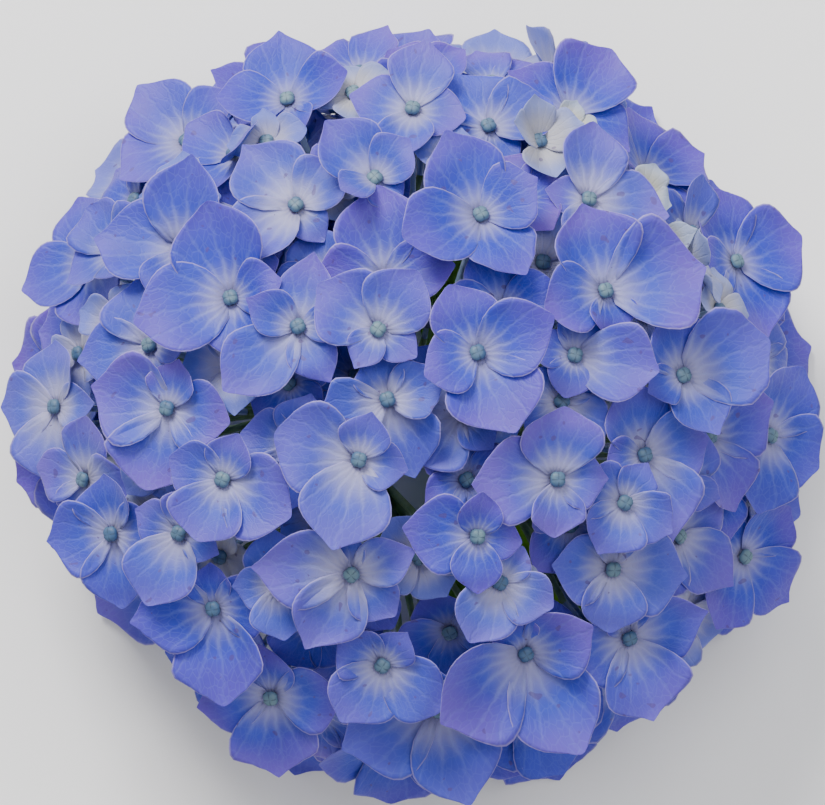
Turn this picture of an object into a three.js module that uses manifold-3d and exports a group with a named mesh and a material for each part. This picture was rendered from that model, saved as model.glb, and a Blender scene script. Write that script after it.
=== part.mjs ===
// A cut hydrangea: one mophead flower, cut short below the head and lying face up on its skirt of
// florets.  Millimetres, +Z up, the table at z = 0 and the head's axis on the Z axis.
//
// The head is a low dome.  Each floret is one grown piece: four or five sepals, a bud in the middle
// and a pedicel below.  The peduncle is the cut stem with its forks, and an arm of it reaches the
// foot of every pedicel.  Two leaves stay below the head.

import * as THREE from 'three';
import { mergeVertices } from 'three/addons/utils/BufferGeometryUtils.js';
import Module from 'manifold-3d';

// ---------------------------------------------------------------- driving dimensions
const HEAD_RADIUS = 82; // head axis to the floret centres at the widest ring
const DOME_RISE = 66; // widest ring up to the floret centre on top
const RING_HEIGHT = 36; // table to the widest ring
const SKIRT_HEIGHT = 17; // table to the centres of the lowest florets, before they settle

const SEPAL_REACH = 16; // floret centre to the tip of a plain sepal
const SEPAL_THICKNESS = 0.8;
const SEPAL_CUP = 2.4; // how far a plain sepal's tip stands above its base
const BUD_DIAMETER = 4.2;
const BUD_HEIGHT = 2.6;
const PEDICEL_DIAMETER = 1.7;
const PEDICEL_LENGTH = 22;

const STEM_DIAMETER = 8;
const STEM_CUT_HEIGHT = 1.5; // table to the cut end
const FORK_HEIGHT = 38; // table to the fork of the peduncle
const RAY_DIAMETER = 3;
const ARM_DIAMETER = 2;

const LEAF_LENGTH = 58;
const LEAF_WIDTH = 50;
const LEAF_THICKNESS = 0.8;
const LEAF_HEIGHT = 8; // table to the joint of the leaf on the stem
const PETIOLE_WIDTH = 4;
const LEAF_SIDE = -2; // degrees from +X to the line between the leaves, which are swept to one side

const CLEARANCE = 0.3; // air between two pieces that touch
const ARM_GAP = PEDICEL_DIAMETER / 2 + 2 * CLEARANCE; // an arm stops this far short of its pedicel

// ---------------------------------------------------------------- proportions and habits
const FACING_SHARE = 0.5; // how much of the dome's slope a floret's face takes on
const VALLEY_SHARE = 0.8; // reach at the notch between two sepals, as a share of the shorter one's
const SHOULDER_SHARE = 1; // reach at a sepal's shoulders, as a share of its own
const SINK_STEP = 0.8; // florets nest below their neighbours in steps of this depth
const SINK_STEPS = 16;
const TURNS_TRIED = [0, 10, -10, 20, -20, 32, -32, 45];
const SIZES_TRIED = [1, 0.92, 0.84, 0.76, 0.68, 0.6, 0.52]; // a floret with no room stays this much smaller
const SAMPLES_PER_SEPAL = 4;
const RAY_COUNT = 5; // around the middle ray
const MIDDLE_SHARE = 0.42; // florets nearer the axis than this share of the radius hang on the middle ray
const HUB_SHARE = 0.45; // how far along its ray a hub sits
const HUB_SHARE_OF_RAY = 0.7; // a hub's radius, as a share of its ray's diameter
const WIDEST_SHARE = 0.3; // how far along a leaf its blade is widest
const NECK_SHARE = 0.16; // how far along a leaf its petiole ends
const ARCH_SHARE = 0.45; // how far along a leaf it has come down to the table
const BELLY = { after: 4, out: 1.7 }; // the blade's swell: millimetres past the neck, half widths out
const TAPER = { along: 0.68, out: 0.5 }; // the pull of its pointed end: share of length, half widths
const PEDICEL_FLARE = 1.05; // how much wider a pedicel is where it meets the sepals
const MID_RING = 0.5; // reach of the ring of points between the bud and the rim
const MERGE_DISTANCE = 1e-4;
const ROD_SIDES = 5;
const STEM_SIDES = 16;

// Florets seen from above, those on top first: place across the head in hundredths of its radius,
// direction of the first sepal in degrees from +X, and the reach of each sepal, counterclockwise,
// as a share of a plain sepal's.
const FACE_FLORETS = [
  { at: [18, 52], turn: 115, reach: [1.15, 1.15, 1.05, 0.85] },
  { at: [51, 32], turn: 105, reach: [1.15, 0.95, 0.6, 1.3] },
  { at: [-8, 38], turn: 90, reach: [1.25, 0.95, 0.6, 0.95] },
  { at: [-48, 30], turn: 105, reach: [1.25, 1.25, 0.9, 0.75] },
  { at: [-30, 22], turn: 80, reach: [1, 0.75, 1.25, 0.85, 0.6] },
  { at: [17, 15], turn: 20, reach: [1.05, 0.95, 0.75, 1.15] },
  { at: [72, 10], turn: 115, reach: [0.9, 0.6, 0.9, 1.15] },
  { at: [-14, -13], turn: 165, reach: [1.1, 1.2, 0.65, 0.65] },
  { at: [38, -18], turn: 90, reach: [0.95, 1.1, 0.75, 0.7] },
  { at: [66, -12], turn: 35, reach: [1, 0.95, 0.6, 1.2] },
  { at: [-50, -18], turn: 340, reach: [1.05, 0.65, 0.75, 0.85] },
  { at: [-65, 1], turn: 75, reach: [0.65, 1.05, 1.1, 0.9] },
  { at: [-16, -43], turn: 170, reach: [1.25, 1.15, 0.8, 0.9, 0.6] },
  { at: [55, -43], turn: 15, reach: [1.05, 0.65, 0.85, 0.85] },
  { at: [30, -64], turn: 210, reach: [1.35, 1.4, 0.95, 0.6] },
  { at: [0, 82], turn: 80, reach: [1, 0.85, 0.85, 0.7] },
  { at: [47, 57], turn: 80, reach: [1.05, 0.6, 0.75, 1.1] },
  { at: [-62, 44], turn: 80, reach: [1.15, 1.15, 0.8, 0.6] },
  { at: [-70, 18], turn: 105, reach: [0.95, 1.05, 0.7, 0.6] },
  { at: [17, -33], turn: 175, reach: [1, 0.75, 0.6, 0.6] },
  { at: [21, 80], turn: 60, reach: [0.95, 0.95, 0.6, 0.65] },
  { at: [-10, 62], turn: 150, reach: [0.95, 0.7, 0.6, 0.65] },
  { at: [26, 30], turn: 40, reach: [0.75, 0.95, 0.95, 0.6] },
  { at: [-9, 21], turn: 45, reach: [0.9, 0.95, 0.6, 0.6] },
  { at: [46, 16], turn: 95, reach: [0.8, 0.6, 0.6, 1.05] },
  { at: [-7, 3], turn: 10, reach: [0.9, 0.75, 1.1, 1.25] },
  { at: [15, -1], turn: 130, reach: [1.1, 0.95, 0.6, 0.6] },
  { at: [44, 3], turn: 350, reach: [0.8, 0.6, 0.6, 0.65] },
  { at: [56, -24], turn: 60, reach: [0.6, 0.7, 0.75, 0.75] },
  { at: [-33, -10], turn: 120, reach: [0.75, 0.85, 0.65, 0.7] },
  { at: [23, -45], turn: 210, reach: [0.85, 0.75, 0.6, 0.65] },
  { at: [-8, -67], turn: 345, reach: [0.95, 0.6, 0.7, 0.9] },
  { at: [7, -80], turn: 205, reach: [1.35, 1.35, 1.1, 0.7] },
  { at: [58, -60], turn: 15, reach: [1.2, 0.6, 1, 1.1] },
  { at: [-62, -32], turn: 245, reach: [1, 0.6, 0.6, 0.7] },
  { at: [-53, -52], turn: 190, reach: [1.1, 1.3, 0.9, 0.6] },
  { at: [-36, -46], turn: 95, reach: [0.75, 0.6, 0.8, 0.65] },
  { at: [-38, -76], turn: 190, reach: [1, 1.15, 1, 0.75] },
  { at: [-32, 57], turn: 130, reach: [1.15, 1.1, 0.6, 0.8] },
  { at: [-89, 43], turn: 190, reach: [1.05, 1, 0.7, 1.05] },
  { at: [-98, 3], turn: 180, reach: [0.95, 1.05, 0.75, 0.9] },
  { at: [-81, -32], turn: 190, reach: [0.95, 1, 0.8, 0.8] },
  { at: [-62, 76], turn: 130, reach: [1.05, 1.05, 0.7, 0.9] },
  { at: [-34, 86], turn: 100, reach: [1, 0.9, 0.75, 0.9] },
  { at: [43, 83], turn: 60, reach: [1.1, 1, 0.7, 0.95] },
  { at: [89, 43], turn: 20, reach: [1.1, 1.05, 0.75, 1.1] },
  { at: [98, -5], turn: 340, reach: [0.95, 1.05, 0.75, 1.1] },
  { at: [91, -38], turn: 325, reach: [1.1, 0.9, 0.75, 1.05] },
];

// The skirt: the lowest florets, evenly round the head, whose outer sepals meet the table.
const SKIRT_RADII = [0.93, 0.9, 0.96, 0.88, 0.97, 0.81, 0.86, 0.87, 0.93]; // shares of the head's radius
const SKIRT_START = 12; // direction of the first, degrees from +X
const SKIRT_FACING = 58; // degrees that a skirt floret's face leans from straight up
const SKIRT_REACH = [1.3, 1.05, 0.7, 1.05];

const PETAL_BLUE = { color: '#7482d6', roughness: 0.6 };
const STEM_GREEN = { color: '#8fae8c', roughness: 0.55 };
const LEAF_GREEN = { color: '#3f8a1c', roughness: 0.5 };

// ---------------------------------------------------------------- solids
const wasm = await Module();
wasm.setup();

/** The geometry with only its positions, and its shared vertices merged. */
function weld(geometry) {
  const bare = geometry.index ? geometry.toNonIndexed() : geometry.clone();
  bare.deleteAttribute('normal');
  bare.deleteAttribute('uv');
  const merged = mergeVertices(bare, MERGE_DISTANCE);
  const corners = merged.index.array;
  const kept = [];
  for (let i = 0; i < corners.length; i += 3) {
    const [a, b, c] = [corners[i], corners[i + 1], corners[i + 2]];
    if (a !== b && b !== c && c !== a) {
      kept.push(a, b, c);
    }
  }
  merged.setIndex(kept);
  return merged;
}

function toSolid(geometry) {
  const welded = weld(geometry);
  return new wasm.Manifold(new wasm.Mesh({
    numProp: 3,
    vertProperties: new Float32Array(welded.getAttribute('position').array),
    triVerts: new Uint32Array(welded.index.array),
  }));
}

function toGeometry(solid) {
  const mesh = solid.getMesh();
  const geometry = new THREE.BufferGeometry();
  geometry.setAttribute('position', new THREE.BufferAttribute(mesh.vertProperties, 3));
  geometry.setIndex(new THREE.BufferAttribute(mesh.triVerts, 1));
  return geometry;
}

/** A straight tapered rod from one point to another. */
function rod(from, to, startDiameter, endDiameter, sides = ROD_SIDES) {
  const along = new THREE.Vector3().subVectors(to, from);
  const geometry = new THREE.CylinderGeometry(endDiameter / 2, startDiameter / 2, along.length(), sides);
  geometry.applyQuaternion(
    new THREE.Quaternion().setFromUnitVectors(new THREE.Vector3(0, 1, 0), along.clone().normalize()));
  geometry.translate(...new THREE.Vector3().addVectors(from, to).multiplyScalar(0.5).toArray());
  return geometry;
}

// ---------------------------------------------------------------- florets
const fork = new THREE.Vector3(0, 0, FORK_HEIGHT);

/** The unit vector that leans `lean` degrees from straight up towards `azimuth` degrees. */
function leaning(lean, azimuth) {
  const polar = THREE.MathUtils.degToRad(lean);
  const around = THREE.MathUtils.degToRad(azimuth);
  return new THREE.Vector3(
    Math.sin(polar) * Math.cos(around), Math.sin(polar) * Math.sin(around), Math.cos(polar));
}

/** Where a floret of the face sits on the dome, and how it faces. */
function onDome({ at, turn, reach }) {
  const share = Math.hypot(...at) / 100;
  const azimuth = THREE.MathUtils.radToDeg(Math.atan2(at[1], at[0]));
  const polar = THREE.MathUtils.radToDeg(Math.asin(share));
  const height = RING_HEIGHT + DOME_RISE * Math.cos(Math.asin(share));
  return {
    centre: new THREE.Vector3((at[0] / 100) * HEAD_RADIUS, (at[1] / 100) * HEAD_RADIUS, height),
    facing: leaning(polar * FACING_SHARE, azimuth),
    turn,
    reach,
    rests: false,
  };
}

/** Where a floret of the skirt sits; it is lowered or raised until it rests on the table. */
function onSkirt(index) {
  const azimuth = SKIRT_START + (index * 360) / SKIRT_RADII.length;
  const centre = leaning(90, azimuth).multiplyScalar(HEAD_RADIUS * SKIRT_RADII[index]);
  return {
    centre: centre.setZ(SKIRT_HEIGHT),
    facing: leaning(SKIRT_FACING, azimuth),
    turn: azimuth,
    reach: SKIRT_REACH,
    rests: true,
  };
}

/**
 * One floret in its own frame, face along +Z: a lathed disc on a pedicel, whose rim is then drawn
 * out into sepals and cupped.  `grow` thickens it all round by that much.
 */
function floretGeometry(reach, foot, grow) {
  const segments = reach.length * SAMPLES_PER_SEPAL;
  const pedicel = PEDICEL_DIAMETER / 2 + grow;
  const bud = BUD_DIAMETER / 2 + grow;
  const under = -SEPAL_THICKNESS / 2 - grow;
  const over = SEPAL_THICKNESS / 2 + grow;
  const profile = [
    [0, under], [pedicel, under], [pedicel * PEDICEL_FLARE, under], [MID_RING, under], [1, 0],
    [MID_RING, over], [bud, over], [0, BUD_HEIGHT + grow],
  ];
  const [FOOT_END, FOOT_RIM, , UNDER_SIDE, RIM, UPPER_SIDE] = profile.keys();
  const geometry = new THREE.LatheGeometry(profile.map((p) => new THREE.Vector2(...p)), segments);
  const position = geometry.getAttribute('position');
  for (let segment = 0; segment <= segments; segment += 1) {
    const step = segment % segments;
    const angle = (step / segments) * 2 * Math.PI;
    const sepal = Math.floor(step / SAMPLES_PER_SEPAL + 0.5) % reach.length;
    const partWay = step % SAMPLES_PER_SEPAL;
    const isValley = partWay === SAMPLES_PER_SEPAL / 2;
    const neighbour = reach[(sepal + reach.length - 1) % reach.length];
    const share = isValley
      ? VALLEY_SHARE * Math.min(reach[sepal], neighbour)
      : reach[sepal] * (partWay === 0 ? 1 : SHOULDER_SHARE);
    const rim = share * SEPAL_REACH + grow;
    for (let index = 0; index < profile.length; index += 1) {
      const vertex = segment * profile.length + index;
      let [radius, height] = profile[index];
      const offset = new THREE.Vector3();
      if (index === FOOT_END || index === FOOT_RIM) {
        offset.copy(foot);
      } else if (index === RIM || index === UNDER_SIDE || index === UPPER_SIDE) {
        radius *= rim;
        height += SEPAL_CUP * (radius / SEPAL_REACH) ** 2;
      }
      position.setXYZ(vertex,
        offset.x + radius * Math.cos(angle), offset.y + radius * Math.sin(angle), offset.z + height);
    }
  }
  return geometry;
}

/** The matrix that carries a floret's own frame to its place on the head. */
function floretMatrix(centre, facing, turn) {
  const first = leaning(90, turn);
  first.addScaledVector(facing, -first.dot(facing)).normalize();
  const second = new THREE.Vector3().crossVectors(facing, first);
  return new THREE.Matrix4().makeBasis(first, second, facing).setPosition(centre);
}

/** A floret sunk by `depth` towards the fork, turned by `twist` degrees and at a share of its size. */
function floretAt(place, { depth, twist, size }, grow) {
  const inward = new THREE.Vector3().subVectors(fork, place.centre).normalize();
  const centre = place.centre.clone().addScaledVector(inward, depth);
  const foot = place.centre.clone().addScaledVector(inward, PEDICEL_LENGTH);
  const reach = place.reach.map((share) => share * size);
  const build = () => {
    const matrix = floretMatrix(centre, place.facing, place.turn + twist);
    const footInFrame = foot.clone().applyMatrix4(matrix.clone().invert());
    return { geometry: floretGeometry(reach, footInFrame, grow), matrix, centre, foot };
  };
  if (place.rests) {
    const { geometry, matrix } = build();
    const lowest = geometry.applyMatrix4(matrix);
    lowest.computeBoundingBox();
    centre.z -= lowest.boundingBox.min.z - grow;
  }
  return build();
}

/** A floret as a solid in its place on the head. */
function placedSolid({ geometry, matrix }) {
  return toSolid(geometry.clone().applyMatrix4(matrix));
}

/** The ways a floret may settle, least disturbed first. */
function* habits() {
  for (const size of SIZES_TRIED) {
    for (let step = 0; step < SINK_STEPS; step += 1) {
      for (const twist of TURNS_TRIED) {
        yield { depth: step * SINK_STEP, twist, size };
      }
    }
  }
}

/** Nests the florets: each sinks, turns or stays small only as far as it must to clear the others. */
function nest(places) {
  const settled = [];
  for (const place of places) {
    const reach = 2 * SEPAL_REACH * Math.max(...place.reach) + PEDICEL_LENGTH;
    const near = settled.filter((other) => other.centre.distanceTo(place.centre) < reach);
    const isClear = (habit) => {
      const guard = placedSolid(floretAt(place, habit, CLEARANCE));
      return near.every((other) => other.solid.intersect(guard).isEmpty());
    };
    const habit = habits().find(isClear);
    const floret = floretAt(place, habit, 0);
    settled.push({ ...floret, solid: placedSolid(floret) });
  }
  return settled;
}

// ---------------------------------------------------------------- peduncle
/** The cut stem, its rays and the arm below each floret, as one grown piece. */
function peduncleGeometry(feet) {
  const cut = new THREE.Vector3(0, 0, STEM_CUT_HEIGHT);
  let solid = toSolid(rod(cut, fork, STEM_DIAMETER, STEM_DIAMETER, STEM_SIDES));
  const groups = new Map();
  for (const foot of feet) {
    const isMiddle = Math.hypot(foot.x, foot.y) < MIDDLE_SHARE * (HEAD_RADIUS - PEDICEL_LENGTH);
    const around = (Math.atan2(foot.y, foot.x) / (2 * Math.PI) + 1) % 1;
    const key = isMiddle ? 'middle' : Math.floor(around * RAY_COUNT);
    groups.set(key, [...(groups.get(key) ?? []), foot]);
  }
  for (const group of groups.values()) {
    const mean = group.reduce((sum, foot) => sum.add(foot), new THREE.Vector3());
    const hub = fork.clone().lerp(mean.divideScalar(group.length), HUB_SHARE);
    const base = fork.clone().setZ(FORK_HEIGHT - STEM_DIAMETER / 2);
    solid = solid.add(toSolid(rod(base, hub, RAY_DIAMETER, RAY_DIAMETER)));
    const ball = new THREE.IcosahedronGeometry(RAY_DIAMETER * HUB_SHARE_OF_RAY);
    solid = solid.add(toSolid(ball.translate(...hub)));
    for (const foot of group) {
      const length = foot.distanceTo(hub) - ARM_GAP;
      const end = hub.clone().add(foot.clone().sub(hub).setLength(length));
      solid = solid.add(toSolid(rod(hub, end, ARM_DIAMETER, PEDICEL_DIAMETER)));
    }
  }
  return toGeometry(solid);
}

// ---------------------------------------------------------------- leaves
/** The directions of the two leaves, just far enough apart for their blades to lie side by side. */
function leafDirections() {
  const widestAt = STEM_DIAMETER / 2 + LEAF_LENGTH * WIDEST_SHARE;
  const spread = THREE.MathUtils.radToDeg(Math.atan2(LEAF_WIDTH / 2 + CLEARANCE, widestAt));
  return [LEAF_SIDE + spread, LEAF_SIDE - spread];
}

/** A broad pointed leaf with its petiole, arching from the stem down onto the table. */
function leafGeometry() {
  const start = STEM_DIAMETER / 2 + CLEARANCE;
  const half = LEAF_WIDTH / 2;
  const neck = LEAF_LENGTH * NECK_SHARE;
  const belly = [neck + BELLY.after, half * BELLY.out];
  const taper = [LEAF_LENGTH * TAPER.along, half * TAPER.out];
  const outline = new THREE.Shape();
  outline.moveTo(0, -PETIOLE_WIDTH / 2);
  outline.lineTo(neck, -PETIOLE_WIDTH / 2);
  outline.bezierCurveTo(belly[0], -belly[1], taper[0], -taper[1], LEAF_LENGTH, 0);
  outline.bezierCurveTo(...taper, ...belly, neck, PETIOLE_WIDTH / 2);
  outline.lineTo(0, PETIOLE_WIDTH / 2);
  outline.closePath();
  const geometry = new THREE.ExtrudeGeometry(outline, {
    depth: LEAF_THICKNESS, bevelEnabled: false, curveSegments: 7,
  });
  const position = geometry.getAttribute('position');
  for (let i = 0; i < position.count; i += 1) {
    const along = position.getX(i) / LEAF_LENGTH;
    const fall = Math.max(0, 1 - along / ARCH_SHARE);
    position.setZ(i, position.getZ(i) + LEAF_HEIGHT * fall ** 2);
  }
  return geometry.translate(start, 0, 0);
}

// ---------------------------------------------------------------- the flower
const hydrangea = new THREE.Group();

function addPiece(name, geometry, finish, matrix = new THREE.Matrix4()) {
  const mesh = new THREE.Mesh(weld(geometry), new THREE.MeshStandardMaterial({ ...finish, metalness: 0 }));
  mesh.name = name;
  mesh.applyMatrix4(matrix);
  hydrangea.add(mesh);
}

const skirt = SKIRT_RADII.map((_, index) => onSkirt(index));
const florets = nest([...FACE_FLORETS.map(onDome), ...skirt]);
florets.forEach(({ geometry, matrix }, index) => {
  addPiece(`floret_${String(index + 1).padStart(2, '0')}`, geometry, PETAL_BLUE, matrix);
});
addPiece('peduncle', peduncleGeometry(florets.map(({ foot }) => foot)), STEM_GREEN);
leafDirections().forEach((direction, index) => {
  const outward = new THREE.Matrix4().makeRotationZ(THREE.MathUtils.degToRad(direction));
  addPiece(`leaf_${index + 1}`, leafGeometry(), LEAF_GREEN, outward);
});

// The origin is on the table, below the middle of the whole flower.
const middle = new THREE.Box3().setFromObject(hydrangea, true).getCenter(new THREE.Vector3());
hydrangea.position.set(-middle.x, -middle.y, 0);

export default hydrangea;
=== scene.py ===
"""A cut hydrangea: one mophead lying face up on its skirt of florets.

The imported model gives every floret's place, facing and reach, the feet of the pedicels and the
leaves' places.  Here each floret gets its thin cupped sepals, bud and pedicel, smaller florets
fill the head between them, and the peduncle, leaves and unopened buds get their real surfaces.
"""

from __future__ import annotations

import logging
import math
from dataclasses import dataclass, field
from enum import Enum

import bpy
import numpy as np
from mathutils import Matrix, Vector
from mathutils.bvhtree import BVHTree


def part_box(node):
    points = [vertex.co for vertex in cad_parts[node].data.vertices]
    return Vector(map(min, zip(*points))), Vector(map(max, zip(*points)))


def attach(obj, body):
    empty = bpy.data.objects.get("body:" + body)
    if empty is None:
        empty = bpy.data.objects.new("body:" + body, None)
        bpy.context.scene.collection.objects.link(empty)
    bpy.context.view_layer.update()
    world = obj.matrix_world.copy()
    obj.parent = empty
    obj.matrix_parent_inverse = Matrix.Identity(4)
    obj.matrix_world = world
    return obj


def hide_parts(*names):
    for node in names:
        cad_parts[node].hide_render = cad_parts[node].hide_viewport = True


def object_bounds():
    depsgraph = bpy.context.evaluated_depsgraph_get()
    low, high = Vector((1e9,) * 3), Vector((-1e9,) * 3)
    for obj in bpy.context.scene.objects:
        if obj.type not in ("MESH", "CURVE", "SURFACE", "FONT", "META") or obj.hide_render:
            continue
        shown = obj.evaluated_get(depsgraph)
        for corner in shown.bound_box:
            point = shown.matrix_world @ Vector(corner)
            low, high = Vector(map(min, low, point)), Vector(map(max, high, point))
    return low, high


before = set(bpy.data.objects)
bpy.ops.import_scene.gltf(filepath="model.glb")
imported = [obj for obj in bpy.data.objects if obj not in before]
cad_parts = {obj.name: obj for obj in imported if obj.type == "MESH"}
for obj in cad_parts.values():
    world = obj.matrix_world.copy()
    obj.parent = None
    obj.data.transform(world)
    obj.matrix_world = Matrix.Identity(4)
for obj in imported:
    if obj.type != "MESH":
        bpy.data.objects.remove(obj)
CAD_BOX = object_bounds()

LOG = logging.getLogger("hydrangea")
MM = 0.001  # all shapes are worked out in millimetres and stored in metres
SEED = 20
BODY = "root"
SAME_POINT = 0.01  # points of a solid closer than this are one corner
RIM_POINTS = 4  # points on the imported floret's rim for each sepal
BUD_FOOT_HEIGHT = 0.4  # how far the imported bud's foot is above the sepals' middle
TABLE_CLEARANCE = 0.35  # what rests on the table keeps this far off it
LEAST_CLEARANCE = 0.05  # the underside of what rests on the table keeps this far off it
PAIR_LIFT = 0.045  # radians that the inner pair of sepals is raised and the outer pair lowered
PAIR_BASE = 0.3  # and how much higher the inner pair grows
BUD_ROOM = 1.6  # a bud needs this much below the sepals' middle and twice as much above it
BUD_SINK = 1.5  # a floret whose bud is not clear sinks in steps of this
BUD_SINKS = 6  # and no more often than this
FORK_ABOVE_RING = 2.0  # how far the grown peduncle forks above the head's widest ring
LEAVES = ("leaf_1", "leaf_2")
NEAR = 34.0  # sepals whose middles are further off than this are not tested against a floret
SETTLING = [(size, nudge) for size in (1.0, 0.9, 0.8)
            for nudge in (0.0, -0.07, 0.07, -0.14, 0.14, -0.22, 0.22, -0.3, 0.32, 0.42)]


# ------------------------------------------------------------------------------ small mathematics
def unit(vector: np.ndarray) -> np.ndarray:
    """The vector at length one."""
    return vector / np.linalg.norm(vector)


def leaning(lean: float, azimuth: float) -> np.ndarray:
    """The unit vector that leans from straight up towards an azimuth, both in degrees."""
    polar, around = math.radians(lean), math.radians(azimuth)
    out = math.sin(polar)
    return np.array([out * math.cos(around), out * math.sin(around), math.cos(polar)])


def face_axes(facing: np.ndarray, towards: np.ndarray) -> np.ndarray:
    """A right-handed set of axes whose third is the facing and whose first leans towards a vector.

    Args:
        facing: the unit vector that becomes the third axis.
        towards: a vector, not along the facing, that the first axis points along as far as it can.

    Returns:
        The three axes as rows.
    """
    first = unit(towards - facing * (towards @ facing))
    return np.array([first, np.cross(facing, first), facing])


def smooth(low: float, high: float, value: np.ndarray) -> np.ndarray:
    """The smooth step from 0 at `low` to 1 at `high`."""
    share = np.clip((value - low) / (high - low), 0.0, 1.0)
    return share * share * (3.0 - 2.0 * share)


# ------------------------------------------------------------------------------ mesh building
@dataclass
class Patch:
    """A piece of surface before it becomes a mesh: its points, quads and what rides on them."""

    points: np.ndarray
    quads: np.ndarray
    uv: np.ndarray
    under: np.ndarray
    rim: np.ndarray
    slot: int = 0


def grid_quads(rows: int, columns: int, closed: bool) -> np.ndarray:
    """The quads of a grid of points stored row by row.

    Args:
        rows: points along the first parameter.
        columns: points along the second parameter.
        closed: whether the last column joins the first.

    Returns:
        An array of quads, four point numbers each, turning from rows to columns.
    """
    i = np.arange(rows - 1)[:, None]
    j = np.arange(columns if closed else columns - 1)[None, :]
    after = (j + 1) % columns
    corners = [i * columns + j, (i + 1) * columns + j, (i + 1) * columns + after, i * columns + after]
    return np.stack(corners, -1).reshape(-1, 4)


def shell(over: np.ndarray, under: np.ndarray, uv: np.ndarray, rim: np.ndarray, slot: int = 0) -> Patch:
    """A thin closed shell between an upper and a lower grid of points.

    Args:
        over: rows x columns x 3 points of the upper face, rows running outward, columns to the left.
        under: the lower face, point for point below the upper one.
        uv: rows x columns x 2, the pattern's coordinates.
        rim: rows x columns, how near a point is to the rim, 1 on it.
        slot: the material slot.

    Returns:
        The shell, with its four edges closed.
    """
    rows, columns = over.shape[:2]
    count = rows * columns
    top = grid_quads(rows, columns, False)
    bottom = top[:, ::-1] + count
    number = np.arange(count).reshape(rows, columns)
    border = np.concatenate([number[0, :], number[1:, -1], number[-1, -2::-1], number[-2:0:-1, 0]])
    following = np.roll(border, -1)
    edge = np.stack([border, following, following + count, border + count], -1)
    points = np.concatenate([over.reshape(-1, 3), under.reshape(-1, 3)])
    flat, near = uv.reshape(-1, 2), rim.ravel()
    side = np.concatenate([np.zeros(count), np.ones(count)])
    return Patch(points, np.concatenate([top, bottom, edge]), np.concatenate([flat, flat]), side,
                 np.concatenate([near, near]), slot)


def tube(path: np.ndarray, radii: np.ndarray, sides: int, slot: int = 0) -> Patch:
    """A closed tube: a circle carried along a path, its ends drawn to a point.

    Args:
        path: points along the middle of the tube.
        radii: the radius at each point.
        sides: corners of the circle.
        slot: the material slot.

    Returns:
        The tube with both ends closed.
    """
    tangent = np.gradient(path, axis=0)
    tangent /= np.linalg.norm(tangent, axis=1, keepdims=True)
    helper = np.where(np.abs(tangent[:, 2:3]) < 0.9, [[0.0, 0.0, 1.0]], [[1.0, 0.0, 0.0]])
    helper = np.broadcast_to(helper[len(path) // 2], tangent.shape)
    first = np.cross(tangent, helper)
    first /= np.linalg.norm(first, axis=1, keepdims=True)
    second = np.cross(tangent, first)
    angle = np.linspace(0.0, 2.0 * np.pi, sides, endpoint=False)
    ring = first[:, None] * np.cos(angle)[None, :, None] + second[:, None] * np.sin(angle)[None, :, None]
    points = path[:, None] + ring * radii[:, None, None]
    quads = grid_quads(len(path), sides, True)[:, ::-1]
    number = np.arange(len(path) * sides).reshape(len(path), sides)
    middles = len(path) * sides + np.array([0, 1])
    caps = [[middles[0], a, b, b] for a, b in zip(number[0], np.roll(number[0], -1))]
    caps += [[middles[1], b, a, a] for a, b in zip(number[-1], np.roll(number[-1], -1))]
    points = np.concatenate([points.reshape(-1, 3), path[[0, -1]]])
    along = np.linspace(0.0, 1.0, len(path))
    uv = np.stack(np.meshgrid(along, angle / (2.0 * np.pi), indexing="ij"), -1).reshape(-1, 2)
    uv = np.concatenate([uv, [[0.0, 0.0], [1.0, 0.0]]])
    quads = np.concatenate([quads, np.array(caps)])
    return Patch(points, quads, uv, np.zeros(len(points)), np.zeros(len(points)), slot)


def bent_path(start: np.ndarray, bend: np.ndarray, end: np.ndarray, count: int) -> np.ndarray:
    """Points along a path that leaves its start towards the bend and comes to its end from there.

    Each is the weighted mean of the three, with weights (1 - t) squared, 2 t (1 - t) and t squared.

    Args:
        start: the first point.
        bend: the point that the path bends towards.
        end: the last point.
        count: how many points.

    Returns:
        The points.
    """
    t = np.linspace(0.0, 1.0, count)[:, None]
    return (1 - t) ** 2 * start + 2 * t * (1 - t) * bend + t ** 2 * end


def closed_ball(points: np.ndarray, ends: list, seam: np.ndarray, slot: int = 0) -> Patch:
    """A ball of rings of points, closed by a fan at its top and another at its bottom.

    Args:
        points: the rings' points, ring after ring from the top.
        ends: the top point and the bottom point.
        seam: rings x points in a ring, how deep in a furrow a point is.
        slot: the material slot.

    Returns:
        The ball, with its furrows stored the way a rim is.
    """
    rows, columns = seam.shape
    count = rows * columns
    first = np.arange(columns)
    last = first + count - columns
    cap = np.stack([np.full(columns, count), first, np.roll(first, -1), np.roll(first, -1)], -1)
    foot = np.stack([np.full(columns, count + 1), np.roll(last, -1), last, last], -1)
    none = np.zeros(count + 2)
    quads = np.concatenate([grid_quads(rows, columns, True), cap, foot])
    marks = np.concatenate([seam.ravel(), [1.0, 0.0]])
    return Patch(np.concatenate([points, ends]), quads, np.stack([none, none], -1), none, marks, slot)


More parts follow.
